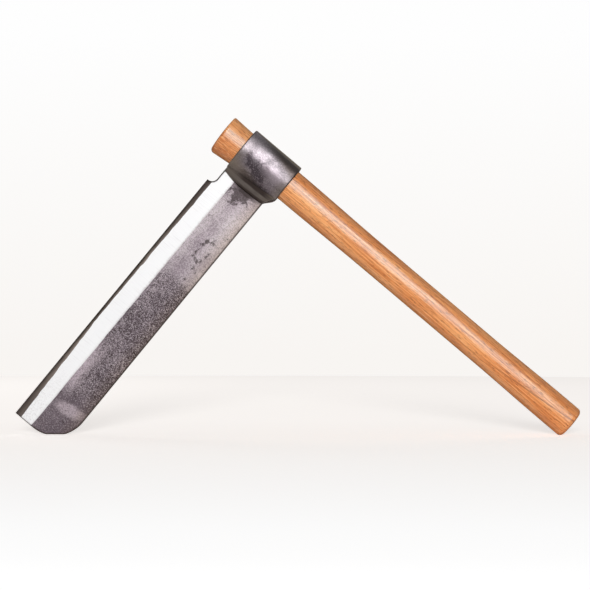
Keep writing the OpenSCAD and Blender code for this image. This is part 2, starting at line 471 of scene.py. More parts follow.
def soft_rim(add, roughness, start):
    """Roughness that grows where the surface turns away, so that lamps don't burn out its outline."""
    away = add("LayerWeight", {"Blend": 0.5}).outputs["Facing"]
    rim = add("MapRange", (away, start, start + 0.3, 0.0, 0.95), **SMOOTH)
    return add("Math", (roughness, rim), "MAXIMUM")


def surface(add, inputs, height=None, strength=0.0, depth=0.0):
    """Ends a material's tree in one shader, with a bump where a height is given."""
    if height:
        inputs["Normal"] = add("Bump", {"Height": height, "Strength": strength, "Distance": depth})
    add("OutputMaterial", (add("BsdfPrincipled", inputs),))


# In the materials, places and sizes are in metres in the piece's own frame. A Map Range takes its value,
# the two values it lies between and the two that they become.
def blade_scale(finish, p):
    """Hot-rolled spring steel with its forge scale left on: lilac-grey and thin near the eye,
    darker and speckled towards the toe, with black flakes and a straw tint along the spine."""
    material, add, own, (x, _, z) = new_material("forge scale on blade steel", p.head)
    # Drifts of scale 24 mm across, flakes of 6 mm; the grit is 0.3 mm, drawn 0.9 mm so that it shows
    drift, flakes, grit = (
        add("TexNoise", {"Vector": own, "Scale": 1 / size, "Detail": detail, "Roughness": rough})
        for size, detail, rough in ((0.024, 5.0, 0.6), (0.006, 4.0, 0.7), (0.0009, 2.0, 0.7))
    )
    shifted = add("Math", (drift, 0.08, z), "MULTIPLY_ADD")
    thick = add("MapRange", (shifted, -0.094, -0.119), **SMOOTH)
    # The thin scale darkens slowly towards the toe, close under the eye and along the middle
    shade = add("MapRange", (apart(add, x, -0.0015), 0.009, 0.002, 0.0, 0.45), **SMOOTH)
    for start, most in ((-0.15, 0.5), (-0.038, 0.6)):
        shade = add("Math", (shade, add("MapRange", (z, -0.066, start, 0.0, most))), "ADD")
    cloudy = add("MapRange", (drift, 0.42, 0.75, 0.0, 0.6))
    shade = add("Math", (shade, cloudy), "ADD", use_clamp=True)
    light = coats(add, finish.scale_light, (shade, finish.scale_mid))
    # The thick scale is darker towards the spine, and all over close to the toe
    above_toe = add("MapRange", (z, -0.304, -0.282), **SMOOTH)
    least = add("MapRange", (above_toe, 0.0, 1.0, 0.85, 0.3))
    shade = step(add, drift, x, 9.0, 0.34, 0.6, least, 1.08)
    dark = coats(add, finish.scale_mid, (shade, finish.scale_dark))
    # A paler, smoother band lies along the bevel in the lower half, and a smear near the toe
    line = add("Attribute", attribute_name="line").outputs["Fac"]
    beside = add("Math", (
        add("MapRange", (line, 0.014, 0.004), **SMOOTH),
        add("MapRange", (shifted, -0.175, -0.215), **SMOOTH)), "MULTIPLY")
    band = add("Math", (beside, above_toe), "MULTIPLY")
    near = patch(add, own, (0.004, 0.0, -0.3106), (0.022, 0.03, 0.009), math.radians(-10))
    smear = add("MapRange", (near, 0.0, 0.6, 0.0, 0.88), **SMOOTH)
    rubbed = add("Math", (band, smear), "MAXIMUM")
    body = coats(add, light, (thick, dark), (rubbed, finish.scale_rubbed))
    # Grit shows most where the scale is thick and not rubbed, and least at the toe
    coarse = add("Math", (thick, above_toe), "MULTIPLY")
    grain = add("Math", (coarse, add("MapRange", (rubbed, 0.0, 1.0, 1.0, 0.1))), "MULTIPLY")
    for low, high, least, most, colour in (
        (0.47, 0.6, 0.42, 0.9, finish.scale_pit),
        # The pale grit flecks are flecks of scale and painted glints
        (0.46, 0.35, 0.4, 0.75, finish.scale_light),
    ):
        limit = add("MapRange", (grain, 0.0, 1.0, least, most))
        body = coats(add, body, (add("MapRange", (grit, low, high, 0.0, limit)), colour))
    # Straw tint towards the spine
    warm = add("MapRange", (x, 0.007, 0.021))
    body = add("Mix", {0: warm, 6: body, 7: finish.scale_warm}, data_type="RGBA", blend_type="MULTIPLY")
    # Flakes of black scale, crowded under the weld and in a ragged ring on the front, near the spine
    crowd = patch(add, own, (-0.004, 0.0, -0.037), (0.024, 0.03, 0.019))
    torn = add("VectorMath", (flakes.outputs["Color"], (0.014, 0.0, 0.014), own), "MULTIPLY_ADD")
    near = patch(add, torn, (0.014, -0.004, -0.099), (0.0085, 0.006, 0.020), math.radians(5))
    ring = add("MapRange", (apart(add, near, 0.34), 0.3, 0.0, 0.0, 0.5))
    crowd = add("Math", (crowd, ring), "MAXIMUM")
    flake = step(add, flakes, crowd, 0.36, 0.62, 0.72, 0.0, 0.8)
    # Darker close under the weld, broken by flakes, less of it towards the edge and the spine
    gap = add("Attribute", attribute_name="weld").outputs["Fac"]
    most = add("MapRange", (apart(add, x, 0.002), 0.02, 0.006, 0.15, 0.95))
    under_weld_dark = step(add, gap, flakes, -0.005, 0.0034, 0.0, 0.0, most, **SMOOTH)
    flake = add("Math", (flake, under_weld_dark), "MAXIMUM")
    # Dark rim along the outline: black scale and painted shade
    rim = add("Attribute", attribute_name="rim").outputs["Fac"]
    scale_and_painted_light = add("Math", (rim, 0.9), "MULTIPLY")
    surface(add, {
        "Base Color": coats(add, body, (flake, finish.scale_pit), (scale_and_painted_light, finish.rim)),
        "Metallic": 1.0,
        "Roughness": add("MapRange", (drift, 0.0, 1.0, 0.38, 0.54)),
    }, add("Math", (flakes, grit), "ADD"), 0.3, 0.0003)
    return material


def ground_steel(finish, p):
    """Spring steel ground bright on a belt: nearly white, mottled at the toe, with faint
    marks square to the edge and a lilac haze where the bevel runs out into the scale."""
    material, add, own, (_, _, z) = new_material("ground steel", p.head)
    # Grinding marks are 0.2 mm wide; they are drawn 1.6 mm wide so that they show
    marks = streaks(add, own, (0.025, 0.025, 0.0016))
    drift = add("TexNoise", {"Vector": own, "Scale": 1 / 0.018, "Detail": 3.0})
    haze = add("TexNoise", {"Vector": own, "Scale": 1 / 0.0016, "Detail": 3.0, "Roughness": 0.7})
    line = add("Attribute", attribute_name="line").outputs["Fac"]
    # The haze along the bevel's line weakens towards the toe, where the mottling starts
    most = add("MapRange", (z, -0.24, -0.16, 0.45, 0.8))
    run_out = step(add, line, haze, 0.004, -0.0005, 0.0026, 0.0, most, **SMOOTH)
    most = add("MapRange", (z, -0.27, -0.335, 0.0, 0.4))
    mottle = add("MapRange", (haze, 0.48, 0.68, 0.0, most))
    run_out = add("Math", (run_out, mottle), "MAXIMUM")
    dull = add("Math", (
        add("MapRange", (marks, 0.5, 0.75, 0.0, 0.6)),
        add("MapRange", (drift, 0.35, 0.7))), "MULTIPLY")
    # Dark rim along the outline: black scale and painted shade
    rim = add("Attribute", attribute_name="rim").outputs["Fac"]
    surface(add, {
        "Base Color": coats(
            add, finish.ground, (dull, finish.ground_dull), (run_out, finish.scale_light), (rim, finish.rim)),
        "Metallic": 1.0,
        "Roughness": add("MapRange", (marks, 0.0, 1.0, 0.24, 0.4)),
    }, marks, 0.12, 0.0003)
    return material


def honed_steel(finish, p):
    """Spring steel honed by hand and oiled: near black along the very edge, brown-grey inside,
    purple-grey towards the heel and the toe. The dark edge is a painted dark reflection of the steep strip."""
    material, add, own, (x, _, z) = new_material("honed steel", p.head)
    # Stains 2.5 mm wide and 8 mm long break the border of the dark edge, which is a painted dark reflection
    # of the steep strip
    stain = streaks(add, own, (0.0025, 0.0025, 0.008))
    off_edge = step(add, x, stain, 0.002, p.edge + 0.0018, p.edge + 0.0055)
    ends = add("MapRange", (apart(add, z, (p.heel + p.toe) / 2), 0.05, 0.13, 0.0, 0.75))
    # Dark rim along the outline: black scale and painted shade
    rim = add("Attribute", attribute_name="rim").outputs["Fac"]
    surface(add, {
        "Base Color": coats(
            add, finish.honed_dark, (off_edge, finish.honed), (ends, finish.honed_ends), (rim, finish.rim)),
        "Metallic": 1.0,
        "Roughness": add("MapRange", (stain, 0.0, 1.0, 0.24, 0.42)),
    })
    return material


def eye_scale(finish, p):
    """Forged tube with its scale left on: satin purple-grey, with darker patches of thick scale and
    oiled, olive ends. Its upper part is paler, rubbed scale and a painted highlight; its top above that
    is darkened as painted shade, and its rims and crease are darkened with black scale and painted shade."""
    material, add, own, (x, _, z) = new_material("forge scale on eye steel", p.head)
    # Blotches of thick scale 14 mm across with ragged rims, cloud of 9 mm; grit drawn 1 mm
    blotch = add("TexNoise", {
        "Vector": own, "Scale": 1 / 0.014, "Detail": 6.0, "Roughness": 0.62, "Distortion": 0.3})
    cloud = add("TexNoise", {"Vector": own, "Scale": 1 / 0.009, "Detail": 3.0})
    grit = add("TexNoise", {"Vector": own, "Scale": 1 / 0.0011, "Detail": 2.0})
    # Below this share the eye keeps its darker scale and most thick patches; above it the scale is paler,
    # rubbed thin and painted as a highlight
    lower = step(add, z, cloud, 0.02, 0.014, 0.004)
    middle = patch(add, own, (-0.001, -0.02, -0.0085), (0.025, 0.03, 0.015))
    thick = add("Math", (
        step(add, blotch, middle, 0.28, 0.53, 0.61, **SMOOTH),
        add("MapRange", (lower, 0.0, 1.0, 0.15, 0.85))), "MULTIPLY")
    # A pale patch lies on the front, towards the narrow end: rubbed scale and a painted highlight that
    # carries the sheen lower there
    scale_and_painted_light = patch(add, own, (0.013, -0.021, -0.004), (0.02, 0.02, 0.008))
    # Oil has darkened the ends, less of it high up
    along = add("Math", (x,), "ABSOLUTE")
    oiled = add("MapRange", (lower, 0.0, 1.0, 0.1, 0.6))
    body = coats(add, finish.eye_bright, (lower, finish.eye_scale), (thick, finish.eye_dark), *(
        (add("MapRange", (mark, low, high, 0.0, most)), colour)
        for mark, low, high, most, colour in (
            (grit, 0.48, 0.64, 0.38, finish.eye_dark),
            # Pale grit flecks: rubbed scale and painted glints
            (grit, 0.45, 0.33, 0.4, finish.scale_rubbed),
            (scale_and_painted_light, 0.0, 0.7, 0.45, finish.scale_rubbed),
            (along, 0.018, 0.029, oiled, finish.eye_olive),
            # Dark line at both rims: black scale and painted shade where the handle meets the eye
            (along, 0.028, 0.0288, 0.75, finish.rim),
        )))
    # The top is painted dark above the highlight as painted shade, with a paler edge, and the base is oiled,
    # along lines that fall to the narrow end
    for fall, low, high, most, colour in (
        (0.33, 0.0095, 0.0195, 0.85, finish.rim),
        (0.05, 0.0185, 0.0205, 0.9, finish.eye_olive),
        (0.3, -0.014, -0.026, 0.7, finish.eye_olive),
    ):
        body = coats(add, body, (step(add, z, x, fall, low, high, 0.0, most, **SMOOTH), colour))
    # Black scale and painted shade in the crease under the eye
    crease = add("Attribute", attribute_name="crease").outputs["Fac"]
    surface(add, {
        "Base Color": coats(add, body, (crease, finish.weld_dark)),
        "Metallic": 1.0,
        "Roughness": soft_rim(add, add("MapRange", (blotch, 0.35, 0.65, 0.28, 0.48)), 0.45),
    }, add("Math", (blotch, 3.0, grit), "MULTIPLY_ADD"), 0.3, 0.0003)
    return material


def dressed_weld(finish, p):
    """Weld bead dressed with a grinder and oiled: grey, olive at its ends and over the eye, black in its
    creases and along its lower step, from black scale and painted shade."""
    material, add, own, (x, _, z) = new_material("dressed weld", p.head)
    # Dressing marks are 0.3 mm wide; they are drawn 2 mm wide so that they show
    marks = streaks(add, own, (0.010, 0.003, 0.002))
    # The crease, black scale and painted shade, runs out at both ends, where the weld is blended into the eye
    crease = add("Attribute", attribute_name="crease").outputs["Fac"]
    blended = add("MapRange", (apart(add, x, 0.004), 0.024, 0.01, 0.2))
    streaky = add("MapRange", (marks, 0.4, 0.75, 0.0, 0.35))
    dark = add("Math", (crease, blended, streaky), "MULTIPLY_ADD", use_clamp=True)
    along = add("Math", (x,), "ABSOLUTE")
    oiled = add("Math", (
        add("MapRange", (along, 0.01, 0.025, 0.0, 0.4)),
        add("MapRange", (z, -0.0228, -0.0205))), "MAXIMUM")
    surface(add, {
        "Base Color": coats(add, finish.weld, (oiled, finish.eye_olive), (dark, finish.weld_dark)),
        "Metallic": 1.0,
        "Roughness": add("MapRange", (marks, 0.0, 1.0, 0.36, 0.52)),
    }, marks, 0.2, 0.0004)
    return material


def oiled_wood(finish, p):
    """Straight-grained hickory, turned, sanded and oiled: orange-brown, with ring lines along the
    grip, long open pores, short flecks and end grain that follows the same rings."""
    material, add, own, (x, y, z) = new_material("oiled hickory", p.grip)
    # The heart of the tree lies below the handle, and the grain runs out of it slowly
    bend = streaks(add, own, (0.11, 0.03, 0.03), 2.0)
    heart = add("CombineXYZ", {
        "Y": add("Math", (y, -0.012), "ADD"), "Z": add("Math", (z, 0.048), "ADD")})
    out = add("VectorMath", (heart,), "LENGTH").outputs["Value"]
    slow = add("Math", (x, 0.012, out), "MULTIPLY_ADD")
    bent = add("Math", (bend, 0.008, slow), "MULTIPLY_ADD")
    # Growth rings 3.4 mm apart, pale at first and dark at the line where growth stopped
    ring = add("Math", (add("Math", (bent, 0.0034), "DIVIDE"),), "FRACT")
    late = add("Math", (
        add("MapRange", (ring, 0.45, 0.95)), add("MapRange", (ring, 1.0, 0.95))), "MULTIPLY")
    # Pores are 0.3 mm wide; they are drawn wider so that they show, long ones and short flecks
    pores, flecks, cloud = (
        streaks(add, own, (run, wide, wide))
        for run, wide in ((0.040, 0.0008), (0.006, 0.0011), (0.08, 0.010))
    )
    # One dark line of grain crosses the grip slowly, from below its middle to the tail
    slant = add("Math", (x, -0.094, z), "MULTIPLY_ADD")
    wavy = add("Math", (bend, 0.004, slant), "MULTIPLY_ADD")
    faded = add("MapRange", (x, 0.24, 0.33, 0.0012, 0.0))
    seam = add("Math", (apart(add, wavy, -0.0318), faded), "ADD")
    # The stub is painted redder and darker on its lower side and paler on its upper side: painted shade and a
    # painted highlight
    outside = add("MapRange", (x, -0.02, -0.034))
    stub_shade, stub_sheen = (
        add("Math", (outside, add("MapRange", (z, low, high))), "MULTIPLY")
        for low, high in ((0.010, -0.010), (0.003, 0.010))
    )
    body = coats(add, finish.wood_pale, *(
        (add("MapRange", (mark, low, high, 0.0, most)), colour)
        for mark, low, high, most, colour in (
            (cloud, 0.32, 0.66, 1.0, finish.wood_mid),
            (stub_sheen, 0.0, 1.0, 0.85, finish.wood_pale),
            (stub_shade, 0.0, 1.0, 0.42, finish.wood_dark),
            (late, 0.0, 1.0, 0.4, finish.wood_dark),
            (pores, 0.48, 0.64, 0.6, finish.wood_dark),
            (flecks, 0.55, 0.64, 0.55, finish.wood_pore),
            (pores, 0.46, 0.34, 0.4, finish.wood_ray),
            (seam, 0.0011, 0.0003, 0.55, finish.wood_pore),
        )))
    surface(add, {
        "Base Color": body,
        "Roughness": soft_rim(add, add("MapRange", (pores, 0.0, 1.0, 0.25, 0.42)), 0.3),
        "Specular IOR Level": 0.5,
    }, pores, 0.12, -0.0004)
    return material


def seen_ray(add):
    """1 on rays that the eye follows: straight, mirrored and through glass."""
    ray = add("LightPath").outputs
    outside = add("Math", (ray["Is Camera Ray"], ray["Is Glossy Ray"]), "MAXIMUM")
    return add("Math", (outside, ray["Is Transmission Ray"]), "MAXIMUM")


def paper_floor(stage):
    """Matt paper sweep, pale and warm, whiter towards the camera; it keeps the shadow it is given."""
    material = bpy.data.materials.new("paper sweep")
    add = empty_tree(material)
    y = add("SeparateXYZ", (add("TexCoord").outputs["Object"],)).outputs["Y"]
    pale = coats(add, stage.floor, (add("MapRange", (y, -0.1, -1.2)), stage.floor_near))
    lift = add("MapRange", (y, 0.35, -1.4, stage.glow, stage.glow_near))
    glow = add("Emission", (pale, add("Math", (seen_ray(add), lift), "MULTIPLY")))
    add("OutputMaterial", (add("AddShader", (add("BsdfDiffuse", (pale,)), glow)),))
    return material


def studio_room(stage):
    """Pale room with a dim ceiling, which fills the shadows by only a share of its light."""
    world = bpy.data.worlds.new("studio")
    add = empty_tree(world)
    height = add("SeparateXYZ", (add("TexCoord").outputs["Generated"],)).outputs["Z"]
    room = coats(
        add, stage.wall,
        (add("MapRange", (height, -0.02, 0.085)), stage.wall_high),
        (add("MapRange", (height, 0.18, 0.5), **SMOOTH), stage.ceiling))
    strength = add("MapRange", (seen_ray(add), 0.0, 1.0, stage.fill, 1.0))
    add("OutputWorld", (add("Background", (room, strength)),))
    return world


def blade_face(p, scene, seed):
    """Grid of one face of the blade in the head's frame, with its marks.
    Columns run from the cutting edge to the spine and rows from the toe up to the eye."""
    blade = scene.froe_blade
    half, slant = blade.thickness / 2, math.tan(blade.bevel_slope)
    lean = math.asin(-p.head[2][0])
    toe_x, toe_z = p.spine - blade.toe_round, p.toe + blade.toe_round
    notch_x, notch_z = p.neck - blade.notch, p.heel + blade.notch
    into_eye = 0.0008  # How far the neck runs into the wall of the eye
    past_notch, past_flare = 0.003, 0.002  # How far the last rows lie above the notch and the flare
    row_step, toe_step = 0.0015, 0.0016  # Distance between rows along the blade and round the toe
    long_swell, short_swell = 0.026, 0.008  # Lengths of the swells and the ripples in the faces
    least_hone = 0.0011  # Width that the honed strip keeps along the notch
    below, above = 0.43, 0.57  # Shares of the edge on either side of the narrowest place of the strip
    most_ease = 0.45  # Share of the half thickness that the eased outline may take
    # The dark rim along the outline is black scale and painted shade
    black_rim = (0.0005, 0.0021)  # Where the black scale starts to fade, in from the outline, and ends

    def swells(x, z):
        long, short = waver(x, 0.0, z, long_swell, seed), waver(x, 0.0, z, short_swell, seed + 1)
        return blade.swell * long + blade.ripple * short

    def width_hone(z):
        part = np.clip((z - p.toe) / blade.edge, 0, 1)
        toeward, heelward = np.maximum(1 - part / below, 0), np.maximum((part - below) / above, 0)
        wide = blade.hone_middle + (blade.hone_toe - blade.hone_middle) * toeward
        wide = wide + (blade.hone_heel - blade.hone_middle) * heelward ** 1.2
        for shake, size, n in ((0.0005, 0.011, 2), (0.0003, 0.004, 3)):
            wide = wide + shake * waver(0.0, 0.0, z, size, seed + n)
        return wide

    # Rows: up from the toe's outline, along the blade, through the notch, then up to the eye
    toe_line = p.toe + TOE_DEPTH
    bend_line = notch_z + past_notch
    toe_rows = np.arange(RIM_STEPS[-1] + row_step, TOE_DEPTH - row_step, toe_step)
    toe_part = np.concatenate([RIM_STEPS, toe_rows]) / TOE_DEPTH
    levels = np.concatenate([
        np.arange(toe_line, p.heel - toe_step, row_step), p.heel + HEEL_STEPS, [bend_line]])
    root_part = np.linspace(0, 1, 12)[1:]
    start = np.concatenate([np.full(len(toe_part), toe_line), levels, np.full(len(root_part), bend_line)])
    to_toe = np.concatenate([1 - toe_part, np.zeros(len(levels) + len(root_part))])
    to_eye = np.concatenate([np.zeros(len(toe_part) + len(levels)), root_part])

    # Left and right ends of each row, and the lines of the hone and the bevel between them
    right = spine_line(p, start + to_eye * (p.flare_top + past_flare - start))
    level = start + to_eye * (-p.underside - start) + to_toe * (p.toe - start)
    drop = np.clip(level - notch_z, -blade.notch, 0)
    left = np.where(level > p.heel, notch_x + np.sqrt(np.maximum(blade.notch ** 2 - drop ** 2, 0)), p.edge)
    bevel = bevel_line(p, blade, level)
    bevel = bevel + swells(bevel, level) / slant
    hone = np.maximum(p.edge + width_hone(level), left + least_hone)
    inner = right - RIM_STEPS[-1]
    x = np.concatenate([
        left[:, None] + (hone - left)[:, None] * HONE_COLUMNS,
        hone[:, None] + (bevel - hone)[:, None] * BEVEL_COLUMNS,
        bevel[:, None] + (inner - bevel)[:, None] * FLAT_COLUMNS,
        right[:, None] - RIM_STEPS[-2::-1],
    ], axis=1)

    # Heights of the rows at each column: the toe's outline stands on the floor
    sag = np.clip(x - toe_x, 0, blade.toe_round)
    outline = toe_z - np.sqrt(np.maximum(blade.toe_round ** 2 - sag ** 2, 0))
    floor = (x * math.sin(lean) - p.head.translation.z) / math.cos(lean)
    outline = np.maximum(outline, floor)
    top = eye_underside(p, x, half, scene.froe_eye.wall) + into_eye
    start, to_toe, to_eye = start[:, None], to_toe[:, None], to_eye[:, None]
    z = start + to_toe * (outline - start) + to_eye * (top - start)

    # Thickness: flat with swells, bevel and hone, eased along the outline
    wide = width_hone(z)
    ground = half - (bevel_line(p, blade, z) - x) * slant
    ground_at_hone = half - (bevel_line(p, blade, z) - p.edge - wide) * slant
    thin = blade.edge_thickness / 2
    honed = thin + (x - p.edge) / wide * (ground_at_hone - thin)
    high = np.minimum(half + swells(x, z), ground)
    high = np.where(x < p.edge + wide, np.minimum(honed, high), high)
    toe_gap = blade.toe_round - np.hypot(np.maximum(x - toe_x, 0), np.minimum(z - toe_z, 0))
    notch_gap = np.hypot(np.maximum(x - notch_x, 0), np.minimum(z - notch_z, 0)) - blade.notch
    gap = np.minimum(np.minimum(toe_gap, (z - floor) * math.cos(lean)), notch_gap)
    high = high - rounding(gap, np.minimum(blade.ease, most_ease * high))
    # Distance in from the outline for the dark rim of black scale and painted shade
    dark = np.where(x < bevel[:, None], np.minimum(notch_gap, toe_gap + 0.0004), gap)
    return np.stack([x, high, z], -1), {
        "rim": 1 - ramp(dark, *black_rim),
        "line": x - bevel[:, None],
        "weld": weld_bottom(p, x) - z,
    }


class FROE_OT_blade(bpy.types.Operator):
    """Build the blade: forged flat, ground bevel, honed strip, notch and toe"""
    bl_idname = "froe.blade"
    bl_label = "Blade"

    def execute(self, context):
        scene = context.scene
        p = head_places(scene)
        (front, front_marks), (back, back_marks) = (blade_face(p, scene, seed) for seed in (11, 47))
        points, faces, column_of = plate(front * np.array([1, -1, 1]), back)
        rows, columns = front.shape[:2]
        mesh = skin(
            "froe_blade", turned(points, p.head), faces,
            [finish(scene.froe_finish, p) for finish in (blade_scale, ground_steel, honed_steel)],
            {m: np.concatenate([front_marks[m].ravel(), back_marks[m].ravel()]) for m in front_marks},
            zones=[2 if c < HONE_LINE else 1 if c < BEVEL_LINE else 0 for c in column_of],
            creases=[
                (side + r * columns + c, side + (r + 1) * columns + c)
                for c in (HONE_LINE, BEVEL_LINE, 0)
                for side in (0, rows * columns)
                for r in range(rows - 1)
            ],
        )
        place_piece("froe_blade", mesh, "head", "blade")
        return {"FINISHED"}


class FROE_OT_eye(bpy.types.Operator):
    """Build the eye: a tapered tube with eased rims"""
    bl_idname = "froe.eye"
    bl_label = "Eye"

    def execute(self, context):
        scene = context.scene
        p = head_places(scene)
        eye = scene.froe_eye
        outer, inner = eye.outer_ease, eye.inner_ease
        bow = np.radians(np.linspace(0, 90, 7))
        end, wall = p.end, eye.wall
        # One turn round the wall: outside, wide end, bore, narrow end
        outside = [(x, wall) for x in np.linspace(end - outer, outer - end, 40)[1:-1]]
        wide = [(outer - end - outer * math.sin(a), wall - outer + outer * math.cos(a)) for a in bow]
        wide += [(inner - end - inner * math.cos(a), inner - inner * math.sin(a)) for a in bow]
        bore = [(x, 0.0) for x in np.linspace(inner - end, end - inner, 12)[1:-1]]
        narrow = [(-x, g) for x, g in reversed(wide)]
        loop = np.array(outside + wide + bore + narrow)
        turn = np.linspace(0, 2 * math.pi, EYE_SIDES, endpoint=False)
        across, angle = np.broadcast_arrays(loop[:, 0][:, None], turn[None, :])
        grow = np.broadcast_to(loop[:, 1][:, None], across.shape)
        outward = ramp(grow, wall * 0.6, wall)
        plain = eye_point(p, across, grow, angle)
        swell = waver(plain[..., 0], plain[..., 1], plain[..., 2], 0.014, 5)
        points = eye_point(p, across, grow + eye.swell * swell * outward, angle)
        # The crease where the weld meets the underside, at a turn either side of straight down, darkened with
        # black scale and painted shade
        weld_turn = 0.42
        off = np.abs(np.abs(angle - math.pi) - weld_turn) * (eye.bore_wide / 2 + wall)
        crease = (1 - ramp(off, 0.0004, 0.0024)) * outward * 0.85 * ramp(across, -0.014, 0.004)
        faces = []
        for r in range(len(loop)):
            for c in range(EYE_SIDES):
                row, next_row = r * EYE_SIDES, (r + 1) % len(loop) * EYE_SIDES
                next_c = (c + 1) % EYE_SIDES
                faces.append([row + c, row + next_c, next_row + next_c, next_row + c])
        mesh = skin(
            "froe_eye", turned(points.reshape(-1, 3), p.head), faces,
            [eye_scale(scene.froe_finish, p)], {"crease": crease.ravel()})
        place_piece("froe_eye", mesh, "head", "eye")
        return {"FINISHED"}


def weld_face(p, scene, seed):
    """Grid of a dressed weld's face in the head's frame, with its crease marks."""
    weld, blade, eye = scene.froe_weld, scene.froe_blade, scene.froe_eye
    half = blade.thickness / 2
    shake, lift, sink = 0.0003, 0.0008, 0.0014  # Waver, lift and drop of the lower end
    into_eye, into_blade = 0.0012, 0.0004  # How far the weld runs into the eye and the blade
    tighter = 1.3  # How much tighter the ends are rolled than the lower step
    # Shares up and across the weld, close together along its rolled rim
    low = np.array([0, 0.01, 0.025, 0.05, 0.08, 0.12, 0.17, 0.23, 0.3])
    part = np.concatenate([low, np.linspace(0.37, 1, 12)])
    sides = np.array([0, 0.003, 0.008, 0.015, 0.025, 0.04])
    across = np.concatenate([sides, np.linspace(0.06, 0.94, 46), 1 - sides[::-1]])
    right_low = weld_bottom(p, p.spine) - sink
    right = spine_line(p, right_low + part * (p.flare_top - right_low))[:, None]
    part = part[:, None]
    x = p.neck + (right - p.neck) * across[None, :]
    # The lower end wavers, lifts towards the edge and sinks towards the spine
    bottom = weld_bottom(p, x) + shake * waver(x, 0.0, 0.0, 0.009, seed)
    bottom = bottom + lift * ramp(-x, 0.014, 0.026) - sink * ramp(x, 0.0, 0.02)
    blend = weld.blend * ramp(-x, 0.006, 0.024)
    top = eye_underside(p, x, half + weld.throat + blend, eye.wall) + into_eye
    z = bottom + part * (top - bottom)
    slant = (weld.throat - weld.step) / (-p.narrow_underside - p.weld)
    face = half + weld.step + (z - p.weld) * slant + blend * part ** 3
    ground = half - (bevel_line(p, blade, z) - x) * math.tan(blade.bevel_slope)
    under = np.minimum(half, ground) - into_blade
    edge_gap = np.minimum(np.minimum(z - bottom, (x - p.neck) * tighter), (right - x) * tighter)
    rise = 1 - rounding(edge_gap, weld.roll) / weld.roll
    face = face + weld.ripple * waver(x, 0.0, z, 0.006, seed + 1) * rise
    high = under + (face - under) * rise
    # Black scale and painted shade lie along the lower step and under the eye, where they run out towards the
    # edge
    seam = ramp(z, -0.0262, -0.0244) * (1 - ramp(z, -0.0228, -0.021) * ramp(-x, -0.002, 0.008))
    crease = np.maximum(1 - ramp(z - bottom, 0.002, 0.0042), seam)
    return np.stack([x, high, z], -1), crease


class FROE_OT_welds(bpy.types.Operator):
    """Build the two dressed welds between the eye and the faces of the blade"""
    bl_idname = "froe.welds"
    bl_label = "Welds"

    def execute(self, context):
        scene = context.scene
        p = head_places(scene)
        steel = dressed_weld(scene.froe_finish, p)
        for name, side, seed in (("front", -1, 3), ("back", 1, 8)):
            face, crease = weld_face(p, scene, seed)
            # The root lies inside the blade, just off its middle plane
            root = face.copy()
            root[..., 1] = 0.0004
            points, faces, _ = plate(face, root)
            mesh = skin(
                f"froe_weld_{name}", turned(points * np.array([1, side, 1]), p.head), faces, [steel],
                {"crease": np.concatenate([crease.ravel(), np.ones(crease.size)])})
            place_piece(f"froe_weld_{name}", mesh, "head", f"weld_{name}")
        return {"FINISHED"}


